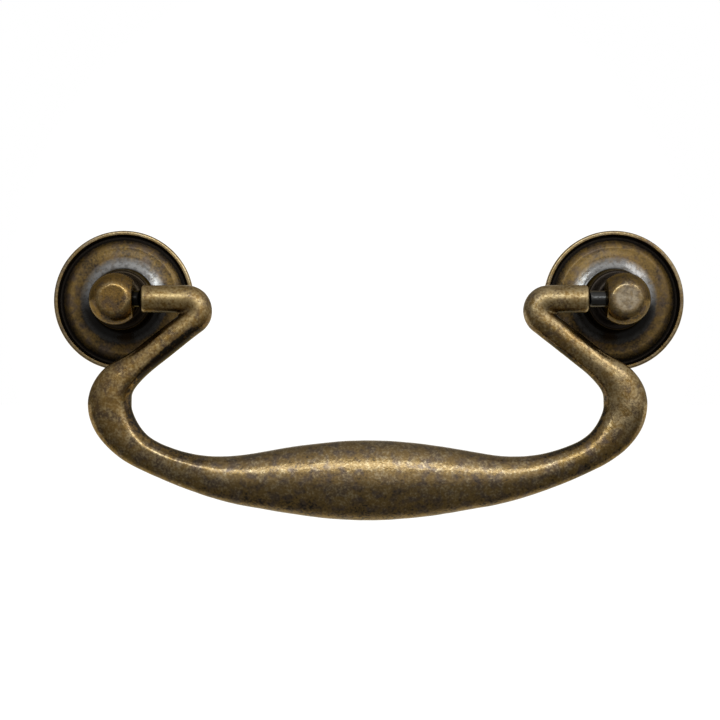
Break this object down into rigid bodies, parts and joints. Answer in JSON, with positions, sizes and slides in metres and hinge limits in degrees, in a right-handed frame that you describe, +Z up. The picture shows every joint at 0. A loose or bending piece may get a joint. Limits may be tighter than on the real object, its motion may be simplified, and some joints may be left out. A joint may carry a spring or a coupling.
{
  "type": "drop pull",
  "caption": "Swan-neck drop pull for a drawer: a cast bail swings between ball-headed posts on round rosettes, held by screws from inside.",
  "frame": {"origin": "midway between the two fixing screws, on the plane of the rosettes' backs", "axes": "+X to the right, +Z up, +Y out of the back, towards the inside of the drawer; the bail hangs along -Z"},
  "size_m": [0.1234, 0.043, 0.0555],
  "materials": {
    "bail_brass": "cast brass, antiqued dark and relieved, satin",
    "rosette_brass": "antiqued brass, dark in the groove and bright on the rim",
    "post_brass": "turned brass, antiqued, worn on the ball head",
    "screw_steel": "zinc-plated steel"
  },
  "bodies": {
    "fixed": {"left_rosette": "rosette_brass", "right_rosette": "rosette_brass", "left_post": "post_brass", "right_post": "post_brass", "left_screw": "screw_steel", "right_screw": "screw_steel"},
    "swinging_bail": {"bail": "bail_brass"}
  },
  "joints": [
    {"name": "bail_swing", "type": "hinge", "parent": "fixed", "child": "swinging_bail", "pos_m": [0, -0.017, 0], "axis": [-1, 0, 0], "range_deg": [-19, 199]}
  ]
}
